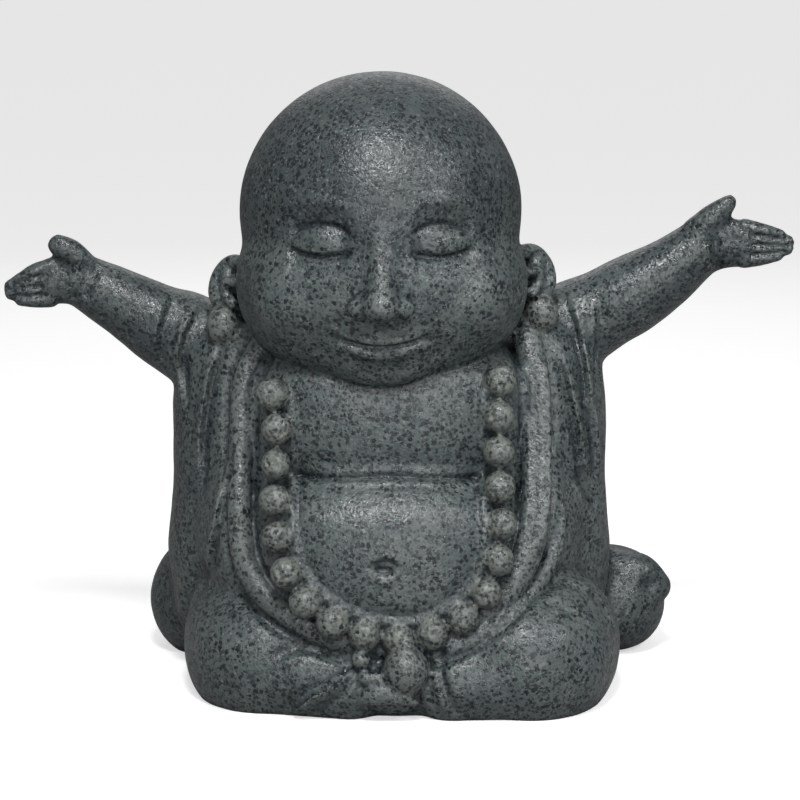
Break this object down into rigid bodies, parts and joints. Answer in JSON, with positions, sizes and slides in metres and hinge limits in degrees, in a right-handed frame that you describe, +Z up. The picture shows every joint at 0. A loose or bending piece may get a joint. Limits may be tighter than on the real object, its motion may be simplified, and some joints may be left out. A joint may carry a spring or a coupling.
{
  "type": "monk statue",
  "caption": "Small seated monk figurine cast in speckled stone resin, arms thrown wide, open robe and bead necklace, flat underside to stand on.",
  "frame": {"origin": "middle of the flat underside", "axes": "+Z up through the crown of the head, -Y the way the monk faces, +X the monk's left hand"},
  "size_m": [0.1307, 0.0641, 0.1],
  "materials": {
    "cast_stone": "satin"
  },
  "bodies": {
    "root": {"monk_statue": "cast_stone"}
  },
  "joints": []
}
